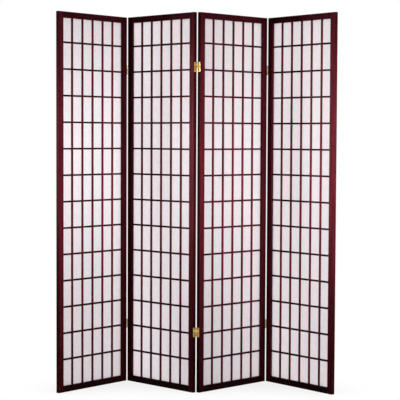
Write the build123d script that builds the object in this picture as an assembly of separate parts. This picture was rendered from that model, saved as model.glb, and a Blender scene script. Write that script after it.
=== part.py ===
from build123d import *
import os
from math import cos, radians, sin, sqrt

# Folding paper screen: four framed lattice panels, hinged edge to edge and standing in a zigzag.
# Millimetres, +Z up. The lattice side faces -Y, and the origin is the middle of the base.
# A panel is drawn in its own frame, with X across its face, Y from the lattice side to the
# paper side and Z up, and is then turned and moved to its place in the zigzag.

# Stance: each panel's turn from straight across, in degrees, from left to right
panel_turns = (48.0, -43.5, 43.0, -49.4)

# Panel frame
panel_width = 445.5
panel_height = 1780.0
panel_thickness = 19.0
stile_face = 30.0
rail_face = 28.5
outer_arris = 1.2
inner_chamfer = 0.8

# Lattice of half-lapped bars, standing a little above the middle of the frame
column_count = 6
row_count = 14
bar_face = 8.5
bar_depth = 7.0
bar_setback = 5.0
bar_chamfer = 0.5
lattice_rise = 6.0
lap_clearance = 0.05
tenon_length = 5.0
tenon_shoulder = 1.0
mortise_clearance = 0.05

# Paper, the rebate that it lies in and the beads that hold it; the rebate is a little wider than
# the tenons are long, so that the paper covers them
paper_thickness = 0.4
paper_margin = 0.5
rebate_margin = 1.0
bead_recess = 0.4
bead_clearance = 0.1
bead_chamfer_share = 0.3

# Dowels in the corners of the frame
dowel_radius = 3.0
dowel_length = 30.0
dowel_clearance = 0.05
dowel_end_space = 0.5
dowel_height_shares = (0.27, 0.73)

# Butt hinges, two at each fold, with their leaves let into the edges of the stiles
hinge_height = 44.5
upper_hinge_inset = 254.0
lower_hinge_inset = 285.0
leaf_thickness = 1.0
leaf_margin = 1.0
leaf_clearance = 0.05
pin_radius = 1.25
pin_clearance = 0.05
pin_end = 0.5
knuckle_count = 5
knuckle_gap = 0.3
notch_gap = 0.3
closed_gap = 2.8

# Countersunk hinge screws
screw_head_radius = 2.5
screw_shank_radius = 1.4
screw_length = 14.0
screw_point = 3.0
screw_clearance = 0.05
screw_height_shares = (-0.32, 0.0, 0.32)
screw_row_shares = (0.47, 0.73, 0.47)
recess_length_share = 1.2
recess_width_share = 0.3
recess_depth_share = 0.3

# How far a cutting shape runs past what it cuts
overrun = 1.0

# Sizes that follow from those above
rebate_width = tenon_length + rebate_margin
rebate_floor = bar_setback + bar_depth
bar_middle = bar_setback + bar_depth / 2
sight_left = stile_face
sight_right = panel_width - stile_face
sight_bottom = rail_face
sight_top = panel_height - rail_face
column_clear = (sight_right - sight_left - (column_count - 1) * bar_face) / column_count
row_clear = (sight_top - sight_bottom - (row_count - 1) * bar_face) / row_count
upright_places = [
    sight_left + index * (column_clear + bar_face) - bar_face / 2 for index in range(1, column_count)
]
cross_places = [
    sight_bottom + lattice_rise + index * (row_clear + bar_face) - bar_face / 2
    for index in range(1, row_count)
]
knuckle_radius = pin_radius + pin_clearance + leaf_thickness
knuckle_pitch = (hinge_height + knuckle_gap) / knuckle_count
leaf_inner = knuckle_radius - leaf_thickness
leaf_width = closed_gap / 2 + panel_thickness - leaf_margin
front_pin = -closed_gap / 2
back_pin = panel_thickness + closed_gap / 2
left_pin = -leaf_inner
right_pin = panel_width + leaf_inner

# The folds from left to right: name, depth of the pin, and which way the leaf runs from it
folds = (("left", front_pin, 1), ("middle", back_pin, -1), ("right", front_pin, 1))
hinge_heights = {"upper": panel_height - upper_hinge_inset, "lower": lower_hinge_inset}


def block(low, high):
    size = [top - bottom for bottom, top in zip(low, high)]
    return Pos(*low) * Box(*size, align=(Align.MIN, Align.MIN, Align.MIN))


# Frame: the edges beside the lattice are cut off at 45 degrees, and the outer edges are rounded

def eased_corner():
    side = sqrt(2) * inner_chamfer
    return Rectangle(side, side, rotation=45)


def left_stile_blank():
    stile = block((0, 0, 0), (stile_face, panel_thickness, panel_height))
    inner_edges = stile.edges().group_by(Axis.X)[-1]
    stile = fillet([edge for edge in stile.edges() if edge not in inner_edges], outer_arris)
    rebate = block(
        (stile_face - rebate_width, rebate_floor, -overrun),
        (stile_face + overrun, panel_thickness + overrun, panel_height + overrun),
    )
    eased = Pos(stile_face, 0, 0) * extrude(eased_corner(), panel_height)
    mortises = [
        block(
            (sight_left - tenon_length - mortise_clearance,
             bar_setback + tenon_shoulder - mortise_clearance,
             height - bar_face / 2 + tenon_shoulder - mortise_clearance),
            (sight_left + overrun,
             rebate_floor - tenon_shoulder + mortise_clearance,
             height + bar_face / 2 - tenon_shoulder + mortise_clearance),
        )
        for height in cross_places
    ]
    return stile - rebate - eased - mortises - dowel_bores()


def bottom_rail_blank():
    rail = block((sight_left, 0, 0), (sight_right, rebate_floor, rail_face))
    rail += block(
        (sight_left - rebate_width, rebate_floor, 0),
        (sight_right + rebate_width, panel_thickness, rail_face - rebate_width),
    )
    outer_edges = rail.edges().filter_by(Axis.X).group_by(Axis.Z)[0].sort_by(Axis.Y)
    rail = fillet([outer_edges[0], outer_edges[-1]], outer_arris)
    corner = Plane((sight_left, 0, rail_face), x_dir=(0, 0, 1), z_dir=(1, 0, 0))
    eased = corner * extrude(eased_corner(), sight_right - sight_left)
    mortises = [
        block(
            (across - bar_face / 2 + tenon_shoulder - mortise_clearance,
             bar_setback + tenon_shoulder - mortise_clearance,
             sight_bottom - tenon_length - mortise_clearance),
            (across + bar_face / 2 - tenon_shoulder + mortise_clearance,
             rebate_floor - tenon_shoulder + mortise_clearance,
             sight_bottom + overrun),
        )
        for across in upright_places
    ]
    return rail - eased - mortises - dowel_bores()


# Dowels lie across each joint of stile and rail, in the thick part in front of the rebate

def dowel_places():
    lower = [share * rail_face for share in dowel_height_shares]
    heights = lower + [panel_height - height for height in lower]
    return [
        Plane((across, rebate_floor / 2, height), z_dir=(1, 0, 0))
        for across in (sight_left, sight_right)
        for height in heights
    ]


def dowel_bores():
    bore = Cylinder(dowel_radius + dowel_clearance, dowel_length + 2 * dowel_end_space)
    return [place * bore for place in dowel_places()]


def dowels():
    dowel = Cylinder(dowel_radius, dowel_length)
    dowel = chamfer(dowel.edges().filter_by(GeomType.CIRCLE), dowel_end_space)
    return [place * dowel for place in dowel_places()]


# Lattice: the uprights are cut away behind and the cross bars in front, so that both lie flush

def upright_bar(across):
    section = Pos(across, bar_middle) * Rectangle(bar_face, bar_depth)
    section = chamfer(section.vertices().group_by(Axis.Y)[0], bar_chamfer)
    bar = Pos(0, 0, sight_bottom) * extrude(section, sight_top - sight_bottom)
    tenon = bar_face / 2 - tenon_shoulder
    bar += block(
        (across - tenon, bar_setback + tenon_shoulder, sight_bottom - tenon_length),
        (across + tenon, rebate_floor - tenon_shoulder, sight_top + tenon_length),
    )
    lap = bar_face / 2 + lap_clearance
    laps = [
        block(
            (across - bar_face, bar_middle, height - lap),
            (across + bar_face, rebate_floor + overrun, height + lap),
        )
        for height in cross_places
    ]
    return bar - laps


def cross_bar(height):
    section = Plane.YZ * Pos(bar_middle, height) * Rectangle(bar_depth, bar_face)
    section = chamfer(section.vertices().group_by(Axis.Y)[0], bar_chamfer)
    bar = Pos(sight_left, 0, 0) * extrude(section, sight_right - sight_left)
    tenon = bar_face / 2 - tenon_shoulder
    bar += block(
        (sight_left - tenon_length, bar_setback + tenon_shoulder, height - tenon),
        (sight_right + tenon_length, rebate_floor - tenon_shoulder, height + tenon),
    )
    lap = bar_face / 2 + lap_clearance
    laps = [
        block(
            (across - lap, bar_setback - overrun, height - bar_face),
            (across + lap, bar_middle, height + bar_face),
        )
        for across in upright_places
    ]
    return bar - laps


# Paper and beads

def paper_sheet():
    reach = rebate_width - paper_margin
    return block(
        (sight_left - reach, rebate_floor, sight_bottom - reach),
        (sight_right + reach, rebate_floor + paper_thickness, sight_top + reach),
    )


def beads():
    reach = rebate_width - bead_clearance
    front = rebate_floor + paper_thickness
    back = panel_thickness - bead_recess
    eased = (back - front) * bead_chamfer_share
    lows = (sight_left - reach, sight_bottom - reach)
    highs = (sight_right + reach, sight_top + reach)
    left = block((lows[0], front, lows[1]), (sight_left, back, highs[1]))
    right = block((sight_right, front, lows[1]), (highs[0], back, highs[1]))
    bottom = block((sight_left, front, lows[1]), (sight_right, back, sight_bottom))
    top = block((sight_left, front, sight_top), (sight_right, back, highs[1]))
    back_edges = (
        left.edges().filter_by(Axis.Z).group_by(Axis.Y)[-1].sort_by(Axis.X)[-1],
        right.edges().filter_by(Axis.Z).group_by(Axis.Y)[-1].sort_by(Axis.X)[0],
        bottom.edges().filter_by(Axis.X).group_by(Axis.Y)[-1].sort_by(Axis.Z)[-1],
        top.edges().filter_by(Axis.X).group_by(Axis.Y)[-1].sort_by(Axis.Z)[0],
    )
    return [chamfer(edge, eased) for edge in back_edges]


# Hinges: drawn about the pin, with X along the leaf and Y towards the wood that it lies on

def hinge_leaf(first_knuckle):
    plate_start = sqrt(knuckle_radius**2 - leaf_inner**2)
    outline = [
        Line((0, knuckle_radius), (leaf_width, knuckle_radius)),
        Line((leaf_width, knuckle_radius), (leaf_width, leaf_inner)),
        Line((leaf_width, leaf_inner), (plate_start, leaf_inner)),
        ThreePointArc((plate_start, leaf_inner), (0, -knuckle_radius), (0, knuckle_radius)),
    ]
    section = make_face(outline) - Circle(pin_radius + pin_clearance)
    leaf = Pos(0, 0, -hinge_height / 2) * extrude(section, hinge_height)
    notches = []
    for index in range(1 - first_knuckle, knuckle_count, 2):
        bottom = index * knuckle_pitch - hinge_height / 2
        notches.append(
            block(
                (-knuckle_radius - overrun, -knuckle_radius - overrun, bottom - knuckle_gap),
                (knuckle_radius + notch_gap, knuckle_radius + overrun, bottom + knuckle_pitch),
            )
        )
    return leaf - notches - [place * screw_hole() for place in screw_places()]


def leaf_recess():
    half_height = hinge_height / 2 + leaf_clearance
    return block(
        (-overrun, leaf_inner - overrun, -half_height),
        (leaf_width + leaf_clearance, knuckle_radius + leaf_clearance, half_height),
    )


def hinge_pin():
    pin = Cylinder(pin_radius, hinge_height + 2 * pin_end)
    return chamfer(pin.edges().filter_by(GeomType.CIRCLE), pin_end)


def screw_places():
    return [
        Pos(row * leaf_width, leaf_inner, height * hinge_height)
        for row, height in zip(screw_row_shares, screw_height_shares)
    ]


def hinge_screw():
    head_depth = screw_head_radius - screw_shank_radius
    outline = Polyline(
        (0, 0),
        (screw_head_radius, 0),
        (screw_shank_radius, head_depth),
        (screw_shank_radius, screw_length - screw_point),
        (0, screw_length),
        close=True,
    )
    screw = revolve(make_face(outline), Axis.Y)
    half_length = recess_length_share * screw_head_radius / 2
    half_width = recess_width_share * screw_head_radius / 2
    depth = recess_depth_share * screw_head_radius
    across = block((-half_length, -overrun, -half_width), (half_length, depth, half_width))
    upright = block((-half_width, -overrun, -half_length), (half_width, depth, half_length))
    return screw - across - upright


def screw_hole():
    head = screw_head_radius + screw_clearance
    shank = screw_shank_radius + screw_clearance
    outline = Polyline(
        (0, -overrun),
        (head, -overrun),
        (head, 0),
        (shank, head - shank),
        (shank, screw_length - screw_point),
        (0, screw_length + screw_clearance),
        close=True,
    )
    return revolve(make_face(outline), Axis.Y)


def hinge_place(across, deep, inward, edge_side, height):
    return Plane((across, deep, height), x_dir=(0, inward, 0), z_dir=(0, 0, inward * edge_side))


# Each panel's hinge places: fold name, hinge name, edge of the panel and place of the pin

def panel_hinges(panel):
    found = []
    for index, (fold, deep, inward) in enumerate(folds):
        for level, height in hinge_heights.items():
            if index == panel - 1:
                place = hinge_place(left_pin, deep, inward, -1, height)
                found.append((f"{fold}_{level}_hinge", "right", place))
            if index == panel:
                place = hinge_place(right_pin, deep, inward, 1, height)
                found.append((f"{fold}_{level}_hinge", "left", place))
    return found


# Stance: panels are laid out from the left, each turned about the pin that it shares with the last

def turned(angle, across, deep):
    turn = radians(angle)
    return Vector(across * cos(turn) - deep * sin(turn), across * sin(turn) + deep * cos(turn), 0)


def stance():
    corner = Vector(0, 0, 0)
    places = []
    pins = []
    for index, angle in enumerate(panel_turns):
        if index:
            deep = folds[index - 1][1]
            pins.append(corner + turned(panel_turns[index - 1], right_pin, deep))
            corner = pins[-1] - turned(angle, left_pin, deep)
        places.append(Location(corner, (0, 0, angle)))
    return places, pins


def panel_pieces(panel, blanks):
    name = f"panel_{panel + 1}"
    edges = {"left_stile": blanks["left_stile"], "right_stile": blanks["right_stile"]}
    pieces = {}
    screws = []
    for hinge, leaf_side, place in panel_hinges(panel):
        stile = "right_stile" if leaf_side == "left" else "left_stile"
        holes = [place * spot * blanks["screw_hole"] for spot in screw_places()]
        edges[stile] = edges[stile] - place * blanks["leaf_recess"] - holes
        screws += [place * spot * blanks["screw"] for spot in screw_places()]
        pieces[f"{hinge}_{leaf_side}_leaf"] = place * blanks[f"{leaf_side}_leaf"]
        if leaf_side == "left":
            pieces[f"{hinge}_pin"] = place * blanks["pin"]
    for stile, shape in edges.items():
        pieces[f"{name}_{stile}"] = shape
    for shared in ("top_rail", "bottom_rail", "upright_bars", "cross_bars", "paper", "paper_beads", "dowels"):
        pieces[f"{name}_{shared}"] = blanks[shared]
    pieces[f"{name}_hinge_screws"] = Compound(screws)
    return pieces


def screen_pieces():
    left_stile = left_stile_blank()
    bottom_rail = bottom_rail_blank()
    blanks = {
        "left_stile": left_stile,
        "right_stile": mirror(left_stile, Plane.YZ.offset(panel_width / 2)),
        "bottom_rail": bottom_rail,
        "top_rail": mirror(bottom_rail, Plane.XY.offset(panel_height / 2)),
        "upright_bars": Compound([upright_bar(across) for across in upright_places]),
        "cross_bars": Compound([cross_bar(height) for height in cross_places]),
        "paper": paper_sheet(),
        "paper_beads": Compound(beads()),
        "dowels": Compound(dowels()),
        "left_leaf": hinge_leaf(0),
        "right_leaf": hinge_leaf(1),
        "pin": hinge_pin(),
        "screw": hinge_screw(),
        "screw_hole": screw_hole(),
        "leaf_recess": leaf_recess(),
    }
    places, pins = stance()
    pieces = {}
    for panel, place in enumerate(places):
        for name, shape in panel_pieces(panel, blanks).items():
            pieces[name] = place * shape
    boxes = [shape.bounding_box() for shape in pieces.values()]
    middle = Vector(
        (min(box.min.X for box in boxes) + max(box.max.X for box in boxes)) / 2,
        (min(box.min.Y for box in boxes) + max(box.max.Y for box in boxes)) / 2,
        0,
    )
    centred = {name: Pos(-middle.X, -middle.Y, 0) * shape for name, shape in pieces.items()}
    return centred, [pin - middle for pin in pins]


pieces, fold_pins = screen_pieces()
os.makedirs("parts", exist_ok=True)
for name, shape in pieces.items():
    export_step(shape, f"parts/{name}.step")
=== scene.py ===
from math import radians

import bpy
from mathutils import Euler, Matrix, Vector

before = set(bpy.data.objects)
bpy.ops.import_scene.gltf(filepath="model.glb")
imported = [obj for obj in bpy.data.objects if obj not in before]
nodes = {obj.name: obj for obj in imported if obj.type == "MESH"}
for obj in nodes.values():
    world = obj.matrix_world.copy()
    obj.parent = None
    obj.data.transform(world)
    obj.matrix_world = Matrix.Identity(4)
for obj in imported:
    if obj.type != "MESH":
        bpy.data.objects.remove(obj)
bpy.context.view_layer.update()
bpy.ops.object.select_all(action="DESELECT")
print("frame loaded:", len(nodes), "nodes")

mmPerMetre = 1000.0
# Where each panel stands, from left to right: its turn in degrees, and its left corner on the lattice side
# in metres
stance = {
    "turns": (48.0, -43.5, 43.0, -49.4),
    "corners": ((-0.63739, -0.16740), (-0.33548, 0.16383), (0.01753, -0.14297), (0.34716, 0.16065)),
    "panelWidth": 0.4455,
    "panelHeight": 1.780,
    "uprightPitch": 0.06567,  # bar to bar across a panel
    "crossPitch": 0.12368,  # bar to bar up a panel
}


def linear(hexColour):
    channels = [int(hexColour[place:place + 2], 16) / 255 for place in (1, 3, 5)]
    return [c / 12.92 if c <= 0.04045 else ((c + 0.055) / 1.055) ** 2.4 for c in channels] + [1.0]


# Adds one node: settings are its own properties, sockets are values or the outputs to link from. A colour
# Mix has its share at socket 0, its colours at 6 and 7, and the mix at output 2
def addNode(tree, kind, settings=None, sockets=None):
    node = tree.nodes.new(kind)
    for name, value in (settings or {}).items():
        setattr(node, name, value)
    for name, value in (sockets or {}).items():
        if isinstance(value, bpy.types.NodeSocket):
            tree.links.new(value, node.inputs[name])
        else:
            node.inputs[name].default_value = value
    return node


def newMaterial(name):
    material = bpy.data.materials.new(name)
    material.use_nodes = True
    tree = material.node_tree
    tree.nodes.clear()
    return material, tree, tree.nodes.new("ShaderNodeOutputMaterial")


# Coordinates in a panel's own frame: across its face, through it and up, in metres
def panelCoordinates(tree, panel):
    place = addNode(tree, "ShaderNodeTexCoord")
    corner = stance["corners"][panel - 1]
    return addNode(tree, "ShaderNodeMapping", {"vector_type": "TEXTURE"}, {
        "Vector": place.outputs["Object"],
        "Location": (corner[0], corner[1], 0.0),
        "Rotation": (0.0, 0.0, radians(stance["turns"][panel - 1])),
    })


# Hardwood stained a dark rosewood red under satin lacquer: deep red-brown with darker growth bands, fine
# open pores along the grain, a soft sheen, and a redder line where the stain is thin on the arrises
rosewood = {
    "stain": "#6b1f2a",
    "darkStain": "#4c141d",
    "pore": "#1d090e",
    "thinStain": "#8a3c40",
    "bandWidth": 7.0,  # mm across the grain
    "bandLength": 240.0,  # mm along the grain
    "bandRange": (0.32, 0.68),  # noise from dark stain to full stain
    "poreWidth": 1.3,  # mm, real pores are about 0.2 and would not show
    "poreLength": 30.0,  # mm
    "poreRange": (0.58, 0.72),  # noise from no pore to pore
    "poreDepth": 0.08,  # mm
    "lacquerRipple": 5.0,  # mm
    "rippleHeight": 0.2,  # mm
    "boardSpread": 0.1,  # share that a board's tone may differ
    "edgeWidth": 1.4,  # mm of thin stain along an arris
    "edgeRange": (0.985, 0.86),  # cosine of the turn from flat to arris
    "narrowEdge": (0.3, 0.9),  # mm in from a stile's side, where its edge gives way to its face
    "roughness": (0.34, 0.48),
    "specular": 0.02,
}


def rosewoodLacquer(name, panel, along, boardStep, paintedShading, edgeSide, paintedEdgeShading):
    material, tree, output = newMaterial(name)
    local = panelCoordinates(tree, panel)
    axes = {"up": (0, 0, 1), "across": (1, 0, 0)}[along]

    # noise drawn out along the grain, shifted so that no two panels or patterns match
    def grain(width, length, shift):
        return addNode(tree, "ShaderNodeMapping", None, {
            "Vector": local.outputs["Vector"],
            "Scale": [mmPerMetre / (length if axis else width) for axis in axes],
            "Location": (shift, 3.7 * panel, 1.9 * shift),
        }).outputs["Vector"]

    bands = addNode(tree, "ShaderNodeTexNoise", None, {
        "Vector": grain(rosewood["bandWidth"], rosewood["bandLength"], 11.0), "Scale": 1.0, "Detail": 4.0,
        "Roughness": 0.55, "Distortion": 0.6,
    })
    bandShare = addNode(tree, "ShaderNodeMapRange", None, {
        "Value": bands.outputs["Fac"],
        "From Min": rosewood["bandRange"][0], "From Max": rosewood["bandRange"][1],
    })
    pores = addNode(tree, "ShaderNodeTexNoise", None, {
        "Vector": grain(rosewood["poreWidth"], rosewood["poreLength"], 23.0), "Scale": 1.0, "Detail": 2.0,
    })
    poreShare = addNode(tree, "ShaderNodeMapRange", None, {
        "Value": pores.outputs["Fac"],
        "From Min": rosewood["poreRange"][0], "From Max": rosewood["poreRange"][1],
    })
    # each bar is cut from its own board, so its tone differs a little
    spacing = addNode(tree, "ShaderNodeMapping", None, {
        "Vector": local.outputs["Vector"], "Scale": [1.0 / step if step else 0.0 for step in boardStep],
        "Location": (0.0, 5.0 * panel, 0.0),
    })
    whole = addNode(tree, "ShaderNodeVectorMath", {"operation": "FLOOR"}, {0: spacing.outputs["Vector"]})
    board = addNode(tree, "ShaderNodeTexWhiteNoise", None, {"Vector": whole.outputs["Vector"]})
    # the tone given for each piece paints light and shade on it, spread a little at random from board to
    # board
    boardToneAndPaintedShade = addNode(tree, "ShaderNodeMapRange", None, {
        "Value": board.outputs["Value"],
        "To Min": paintedShading * (1 - rosewood["boardSpread"]), "To Max": paintedShading * (1 + rosewood["boardSpread"]),
    })
    stained = addNode(tree, "ShaderNodeMix", {"data_type": "RGBA"}, {
        0: bandShare.outputs["Result"], 6: linear(rosewood["darkStain"]), 7: linear(rosewood["stain"]),
    })
    # lacquer over the arrises: the stain is thin there, more in some places than others
    bevel = addNode(tree, "ShaderNodeBevel", {"samples": 6}, {"Radius": rosewood["edgeWidth"] / mmPerMetre})
    flat = addNode(tree, "ShaderNodeNewGeometry")
    turn = addNode(tree, "ShaderNodeVectorMath", {"operation": "DOT_PRODUCT"}, {
        0: bevel.outputs["Normal"], 1: flat.outputs["Normal"],
    })
    edge = addNode(tree, "ShaderNodeMapRange", None, {
        "Value": turn.outputs["Value"],
        "From Min": rosewood["edgeRange"][0], "From Max": rosewood["edgeRange"][1],
    })
    rubbed = addNode(tree, "ShaderNodeMath", {"operation": "MULTIPLY"}, {
        0: edge.outputs["Result"], 1: bandShare.outputs["Result"],
    })
    edged = addNode(tree, "ShaderNodeMix", {"data_type": "RGBA"}, {
        0: rubbed.outputs["Value"], 6: stained.outputs[2], 7: linear(rosewood["thinStain"]),
    })
    pored = addNode(tree, "ShaderNodeMix", {"data_type": "RGBA"}, {
        0: poreShare.outputs["Result"], 6: edged.outputs[2], 7: linear(rosewood["pore"]),
    })
    # painted shade or painted light on the narrow edge on one side of a stile
    near, far = (inset / mmPerMetre for inset in rosewood["narrowEdge"])
    if edgeSide == "right":
        near, far = stance["panelWidth"] - near, stance["panelWidth"] - far
    across = addNode(tree, "ShaderNodeSeparateXYZ", None, {"Vector": local.outputs["Vector"]})
    paintedEdgeShade = addNode(tree, "ShaderNodeMapRange", None, {
        "Value": across.outputs["X"], "From Min": near, "From Max": far, "To Min": paintedEdgeShading, "To Max": 1.0,
    })
    stainAndPaintedShade = addNode(tree, "ShaderNodeMath", {"operation": "MULTIPLY"}, {
        0: boardToneAndPaintedShade.outputs["Result"], 1: paintedEdgeShade.outputs["Result"],
    })
    woodWithPaintedShade = addNode(tree, "ShaderNodeVectorMath", {"operation": "SCALE"}, {
        0: pored.outputs[2], "Scale": stainAndPaintedShade.outputs["Value"],
    })
    ripple = addNode(tree, "ShaderNodeTexNoise", None, {
        "Vector": local.outputs["Vector"], "Scale": mmPerMetre / rosewood["lacquerRipple"], "Detail": 2.0,
    })
    gloss = addNode(tree, "ShaderNodeMapRange", None, {
        "Value": ripple.outputs["Fac"], "From Min": 0.3, "From Max": 0.7,
        "To Min": rosewood["roughness"][0], "To Max": rosewood["roughness"][1],
    })
    sunk = addNode(tree, "ShaderNodeBump", {"invert": True}, {
        "Height": poreShare.outputs["Result"], "Strength": 0.25,
        "Distance": rosewood["poreDepth"] / mmPerMetre, "Normal": bevel.outputs["Normal"],
    })
    surface = addNode(tree, "ShaderNodeBump", None, {
        "Height": ripple.outputs["Fac"], "Strength": 0.15,
        "Distance": rosewood["rippleHeight"] / mmPerMetre, "Normal": sunk.outputs["Normal"],
    })
    wood = addNode(tree, "ShaderNodeBsdfPrincipled", None, {
        "Base Color": woodWithPaintedShade.outputs["Vector"], "Roughness": gloss.outputs["Result"], "IOR": 1.5,
        "Specular IOR Level": rosewood["specular"], "Normal": surface.outputs["Normal"],
    })
    tree.links.new(wood.outputs["BSDF"], output.inputs["Surface"])
    return material


# Machine-made shoji paper: off-white with a cool cast, cloudy where the pulp is thicker, with long pale
# fibres lying every way, fully matt, and light from behind comes through it
shojiPaper = {
    "sheet": "#e9e5e7",
    "thickPulp": "#e4e0e2",
    "fibre": "#f2edee",
    "cloudSize": 16.0,  # mm
    "cloudRange": (0.35, 0.68),  # noise from plain sheet to thick pulp
    "fibreWidth": 1.1,  # mm, real fibres are about 0.1 and would not show
    "fibreLength": 34.0,  # mm
    "fibreRange": (0.64, 0.74),  # noise from no fibre to fibre
    "fibreHeight": 0.1,  # mm
    "fibreTurns": (8.0, 67.0, 128.0),  # degrees in the sheet
    "throughShare": 0.85,
}


def washi(name, panel):
    material, tree, output = newMaterial(name)
    local = panelCoordinates(tree, panel)
    clouds = addNode(tree, "ShaderNodeTexNoise", None, {
        "Vector": local.outputs["Vector"], "Scale": mmPerMetre / shojiPaper["cloudSize"],
        "Detail": 5.0, "Roughness": 0.6,
    })
    pulp = addNode(tree, "ShaderNodeMapRange", None, {
        "Value": clouds.outputs["Fac"],
        "From Min": shojiPaper["cloudRange"][0], "From Max": shojiPaper["cloudRange"][1],
    })
    # one layer of fibres for each way that they lie, shifted so that no two panels match
    fibres = None
    for layer, turn in enumerate(shojiPaper["fibreTurns"]):
        lie = addNode(tree, "ShaderNodeMapping", {"vector_type": "TEXTURE"}, {
            "Vector": local.outputs["Vector"], "Location": (0.31 * layer, 0.0, 0.17 * panel),
            "Rotation": (0.0, radians(turn), 0.0),
            "Scale": (shojiPaper["fibreLength"] / mmPerMetre, 1.0, shojiPaper["fibreWidth"] / mmPerMetre),
        })
        strands = addNode(tree, "ShaderNodeTexNoise", None, {
            "Vector": lie.outputs["Vector"], "Scale": 1.0, "Detail": 1.0, "Distortion": 0.5,
        })
        share = addNode(tree, "ShaderNodeMapRange", None, {
            "Value": strands.outputs["Fac"],
            "From Min": shojiPaper["fibreRange"][0], "From Max": shojiPaper["fibreRange"][1],
        })
        fibres = share.outputs["Result"] if fibres is None else addNode(
            tree, "ShaderNodeMath", {"operation": "MAXIMUM"}, {0: fibres, 1: share.outputs["Result"]},
        ).outputs["Value"]
    sheet = addNode(tree, "ShaderNodeMix", {"data_type": "RGBA"}, {
        0: pulp.outputs["Result"], 6: linear(shojiPaper["sheet"]), 7: linear(shojiPaper["thickPulp"]),
    })
    fibred = addNode(tree, "ShaderNodeMix", {"data_type": "RGBA"}, {
        0: fibres, 6: sheet.outputs[2], 7: linear(shojiPaper["fibre"]),
    })
    tooth = addNode(tree, "ShaderNodeBump", None, {
        "Height": fibres, "Strength": 0.3, "Distance": shojiPaper["fibreHeight"] / mmPerMetre,
    })
    face = addNode(tree, "ShaderNodeBsdfPrincipled", None, {
        "Base Color": fibred.outputs[2], "Roughness": 0.9, "IOR": 1.45, "Specular IOR Level": 0.2,
        "Normal": tooth.outputs["Normal"],
    })
    through = addNode(tree, "ShaderNodeBsdfTranslucent", None, {"Color": fibred.outputs[2]})
    mixed = addNode(tree, "ShaderNodeMixShader", None, {
        0: shojiPaper["throughShare"], 1: face.outputs["BSDF"], 2: through.outputs["BSDF"],
    })
    tree.links.new(mixed.outputs["Shader"], output.inputs["Surface"])
    return material


# Rolled brass sheet, bright and lightly handled: warm yellow, fine lines from the rolling along its height,
# a little dulled in patches, with painted shade in the corners of knuckles and screw slots
rolledBrass = {
    "bright": "#ead694",
    "dulled": "#9c7838",
    "shadeInCorners": "#4a3418",
    "lineWidth": 0.35,  # mm
    "lineLength": 14.0,  # mm
    "lineHeight": 0.03,  # mm
    "patchSize": 14.0,  # mm
    "patchRange": (0.4, 0.75),  # noise from bright to dulled
    "cornerReach": 1.6,  # mm
    "cornerRange": (0.75, 0.3),  # share of open sky from no painted shade to full painted shade
    "roughness": (0.24, 0.42),
}
# Brass-plated steel screws: the same yellow gone brown where the plating is rubbed, with painted shade in
# the slots
platedScrew = dict(rolledBrass, bright="#7d5c2e", dulled="#3f2b13", patchSize=4.0)


def brassSheet(name, look):
    material, tree, output = newMaterial(name)
    place = addNode(tree, "ShaderNodeTexCoord")
    lineWidth, lineLength = look["lineWidth"] / mmPerMetre, look["lineLength"] / mmPerMetre
    rolled = addNode(tree, "ShaderNodeMapping", {"vector_type": "TEXTURE"}, {
        "Vector": place.outputs["Object"], "Scale": (lineWidth, lineWidth, lineLength),
    })
    lines = addNode(tree, "ShaderNodeTexNoise", None, {
        "Vector": rolled.outputs["Vector"], "Scale": 1.0, "Detail": 2.0,
    })
    patches = addNode(tree, "ShaderNodeTexNoise", None, {
        "Vector": place.outputs["Object"], "Scale": mmPerMetre / look["patchSize"], "Detail": 3.0,
    })
    dull = addNode(tree, "ShaderNodeMapRange", None, {
        "Value": patches.outputs["Fac"],
        "From Min": look["patchRange"][0], "From Max": look["patchRange"][1],
    })
    metal = addNode(tree, "ShaderNodeMix", {"data_type": "RGBA"}, {
        0: dull.outputs["Result"], 6: linear(look["bright"]), 7: linear(look["dulled"]),
    })
    # painted shade where the corners of knuckles and screw slots see little open sky
    corner = addNode(tree, "ShaderNodeAmbientOcclusion", {"samples": 8}, {
        "Distance": look["cornerReach"] / mmPerMetre,
    })
    cornerShadeShare = addNode(tree, "ShaderNodeMapRange", None, {
        "Value": corner.outputs["AO"],
        "From Min": look["cornerRange"][0], "From Max": look["cornerRange"][1],
    })
    cornerShaded = addNode(tree, "ShaderNodeMix", {"data_type": "RGBA"}, {
        0: cornerShadeShare.outputs["Result"], 6: metal.outputs[2], 7: linear(look["shadeInCorners"]),
    })
    gloss = addNode(tree, "ShaderNodeMapRange", None, {
        "Value": lines.outputs["Fac"], "From Min": 0.3, "From Max": 0.7,
        "To Min": look["roughness"][0], "To Max": look["roughness"][1],
    })
    surface = addNode(tree, "ShaderNodeBump", None, {
        "Height": lines.outputs["Fac"], "Strength": 0.2, "Distance": look["lineHeight"] / mmPerMetre,
    })
    brass = addNode(tree, "ShaderNodeBsdfPrincipled", None, {
        "Base Color": cornerShaded.outputs[2], "Metallic": 1.0, "Roughness": gloss.outputs["Result"],
        "Normal": surface.outputs["Normal"],
    })
    tree.links.new(brass.outputs["BSDF"], output.inputs["Surface"])
    return material


# Bare beech dowel rod: pale tan, short dark flecks along the rod, matt from turning
beechRod = {
    "wood": "#c9a477",
    "fleck": "#9c7348",
    "fleckWidth": 0.5,  # mm
    "fleckLength": 3.0,  # mm
    "fleckRange": (0.5, 0.7),  # noise from plain wood to fleck
    "fleckHeight": 0.1,  # mm
}


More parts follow.
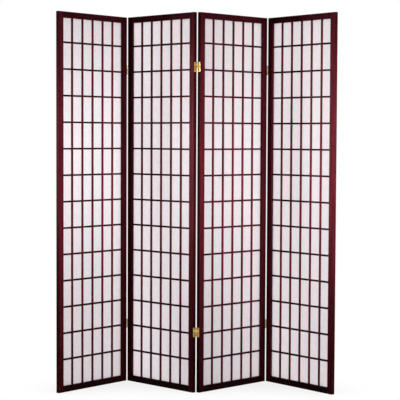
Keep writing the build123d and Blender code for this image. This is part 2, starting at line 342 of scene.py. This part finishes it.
def bareBeech(name, panel):
    material, tree, output = newMaterial(name)
    local = panelCoordinates(tree, panel)
    perWidth, perLength = mmPerMetre / beechRod["fleckWidth"], mmPerMetre / beechRod["fleckLength"]
    lie = addNode(tree, "ShaderNodeMapping", None, {
        "Vector": local.outputs["Vector"], "Scale": (perLength, perWidth, perWidth),
    })
    flecks = addNode(tree, "ShaderNodeTexNoise", None, {
        "Vector": lie.outputs["Vector"], "Scale": 1.0, "Detail": 2.0,
    })
    share = addNode(tree, "ShaderNodeMapRange", None, {
        "Value": flecks.outputs["Fac"],
        "From Min": beechRod["fleckRange"][0], "From Max": beechRod["fleckRange"][1],
    })
    colour = addNode(tree, "ShaderNodeMix", {"data_type": "RGBA"}, {
        0: share.outputs["Result"], 6: linear(beechRod["wood"]), 7: linear(beechRod["fleck"]),
    })
    surface = addNode(tree, "ShaderNodeBump", None, {
        "Height": flecks.outputs["Fac"], "Strength": 0.2, "Distance": beechRod["fleckHeight"] / mmPerMetre,
    })
    wood = addNode(tree, "ShaderNodeBsdfPrincipled", None, {
        "Base Color": colour.outputs[2], "Roughness": 0.7, "IOR": 1.5, "Normal": surface.outputs["Normal"],
    })
    tree.links.new(wood.outputs["BSDF"], output.inputs["Surface"])
    return material


def dress(node, material):
    for slot in nodes[node].material_slots:
        slot.link = "OBJECT"
        slot.material = material


# Each piece of wood: which way its grain runs, the step from one board to the next (across, through, up),
# and its tone on panels 1 to 4, which is painted shade where it stands in shade, as at the back folds and
# on the bottom rails, and painted light where light falls on it, as on the outer stiles and the upright
# bars
woodPieces = {
    "left_stile": ("up", (stance["panelWidth"] / 2, 0, 0), (1.35, 0.4, 1.05, 1.1)),
    "right_stile": ("up", (stance["panelWidth"] / 2, 0, 0), (0.55, 1.2, 1.05, 1.45)),
    "top_rail": ("across", (0, 0, stance["panelHeight"] / 2), (0.7, 1.0, 0.85, 0.85)),
    "bottom_rail": ("across", (0, 0, stance["panelHeight"] / 2), (0.27, 0.22, 0.27, 0.22)),
    "upright_bars": ("up", (stance["uprightPitch"], 0, 0), (1.4, 1.2, 1.7, 2.2)),
    "cross_bars": ("across", (0, 0, stance["crossPitch"]), (0.5, 0.5, 0.7, 0.55)),
    "paper_beads": ("up", (stance["panelWidth"] / 2, 0, 0), (0.9, 0.9, 0.9, 0.9)),
}
# Each stile's narrow edge: its side, and its tone against the face on panels 1 to 4. The tone is painted
# shade on the edges that meet at a fold and on panel 1's outer edge, and painted light on panel 4's outer
# edge
stileEdgeShading = {
    "left_stile": ("left", (0.8, 0.4, 0.4, 0.4)),
    "right_stile": ("right", (0.4, 0.4, 0.4, 1.35)),
}
noEdgeShading = (None, (1.0, 1.0, 1.0, 1.0))
for panel in (1, 2, 3, 4):
    for piece, (along, boardStep, paintedShadings) in woodPieces.items():
        edgeSide, paintedEdgeShadings = stileEdgeShading.get(piece, noEdgeShading)
        lacquer = rosewoodLacquer(
            f"rosewoodLacquer_{piece}_{panel}", panel, along, boardStep, paintedShadings[panel - 1],
            edgeSide, paintedEdgeShadings[panel - 1],
        )
        dress(f"panel_{panel}_{piece}", lacquer)
    dress(f"panel_{panel}_paper", washi(f"washi_{panel}", panel))
    dress(f"panel_{panel}_dowels", bareBeech(f"bareBeech_{panel}", panel))
brass, plated = brassSheet("rolledBrass", rolledBrass), brassSheet("platedScrew", platedScrew)
for node in nodes:
    if "hinge" in node:
        dress(node, plated if node.endswith("screws") else brass)
print("materials on:", len(bpy.data.materials), "in all")


# 1 for a ray that comes from the camera, straight or by way of metal or glass, and 0 for the rest
def seenRays(tree):
    rays = addNode(tree, "ShaderNodeLightPath")
    seen = rays.outputs["Is Camera Ray"]
    for kind in ("Is Glossy Ray", "Is Transmission Ray"):
        seen = addNode(tree, "ShaderNodeMath", {"operation": "ADD", "use_clamp": True}, {
            0: seen, 1: rays.outputs[kind],
        }).outputs["Value"]
    return seen


white = (1.0, 1.0, 1.0, 1.0)
# Floor: a plain pale sweep that shows white to the camera and keeps a faint shadow, in metres
floorLook = {
    "size": 400.0,
    "drop": 0.0005,  # below the foot of the screen
    "paint": "#d6d2cd",
    "shadowReach": 0.35,
    "shadowRange": (0.4, 0.95),  # share of open sky from full shadow to none
    "shadow": 0.86,
}
bpy.ops.mesh.primitive_plane_add(size=floorLook["size"], location=(0, 0, -floorLook["drop"]))
floor = bpy.context.object
floor.name = "studioFloor"
bpy.ops.object.transform_apply(location=True)
paint, tree, output = newMaterial("matteFloorPaint")
matte = addNode(tree, "ShaderNodeBsdfDiffuse", None, {"Color": linear(floorLook["paint"])})
near = addNode(tree, "ShaderNodeAmbientOcclusion", {"samples": 16}, {"Distance": floorLook["shadowReach"]})
shadow = addNode(tree, "ShaderNodeMapRange", None, {
    "Value": near.outputs["AO"],
    "From Min": floorLook["shadowRange"][0], "From Max": floorLook["shadowRange"][1],
    "To Min": floorLook["shadow"], "To Max": 1.0,
})
shown = addNode(tree, "ShaderNodeEmission", None, {"Color": white, "Strength": shadow.outputs["Result"]})
both = addNode(tree, "ShaderNodeMixShader", None, {
    0: seenRays(tree), 1: matte.outputs["BSDF"], 2: shown.outputs["Emission"],
})
tree.links.new(both.outputs["Shader"], output.inputs["Surface"])
floor.data.materials.append(paint)

# Studio: an even pale room, a soft light on each side of the camera and a large one behind for the paper.
# Each light's place, the point it faces and its size are in metres, its power in watts, its beam in degrees
studio = {
    "room": 0.03,
    "lights": {
        "softboxRight": ((2.12, -2.3, 1.2), (0.05, -0.1, 1.08), (1.2, 0.5), 4.7, 36.0),
        "softboxLeft": ((-4.2, -1.6, 1.2), (0.7, -0.56, 1.15), (1.4, 0.5), 5.2, 20.0),
        "softboxBack": ((0.5, 2.8, 1.15), (0.1, 0.0, 1.0), (3.8, 2.4), 90.0, 180.0),
    },
}
world = bpy.data.worlds.new("paleRoom")
bpy.context.scene.world = world
world.use_nodes = True
tree = world.node_tree
tree.nodes.clear()
room = addNode(tree, "ShaderNodeBackground", None, {"Color": white, "Strength": studio["room"]})
backdrop = addNode(tree, "ShaderNodeBackground", None, {"Color": white, "Strength": 1.0})
either = addNode(tree, "ShaderNodeMixShader", None, {
    0: seenRays(tree), 1: room.outputs["Background"], 2: backdrop.outputs["Background"],
})
addNode(tree, "ShaderNodeOutputWorld", None, {"Surface": either.outputs["Shader"]})
for name, (place, target, size, power, beam) in studio["lights"].items():
    bpy.ops.object.light_add(type="AREA", location=place)
    lamp = bpy.context.object
    lamp.name = name
    lamp.rotation_euler = (Vector(target) - Vector(place)).to_track_quat("-Z", "Y").to_euler()
    lamp.data.shape = "RECTANGLE"
    lamp.data.size, lamp.data.size_y = size
    lamp.data.energy = power
    lamp.data.spread = radians(beam)
    lamp.visible_camera = False
print("floor and lights set")

# Camera: straight in front, level with the upper half of the screen and tilted down a little, in metres,
# degrees and millimetres of lens
view = {
    "place": (-0.00277, -6.25982, 1.20425),
    "yaw": 0.196,
    "pitch": -2.779,
    "roll": 0.250,
    "lens": 118.143,
}
bpy.ops.object.camera_add(location=view["place"])
camera = bpy.context.object
level = Euler((radians(90 + view["pitch"]), 0.0, radians(-view["yaw"]))).to_matrix()
camera.rotation_euler = (level @ Matrix.Rotation(radians(view["roll"]), 3, "Z")).to_euler()
camera.data.sensor_width = 36.0
camera.data.lens = view["lens"]
camera.data.clip_end = 200.0
bpy.context.scene.camera = camera
bpy.context.scene.view_settings.view_transform = "Standard"
print("camera set")
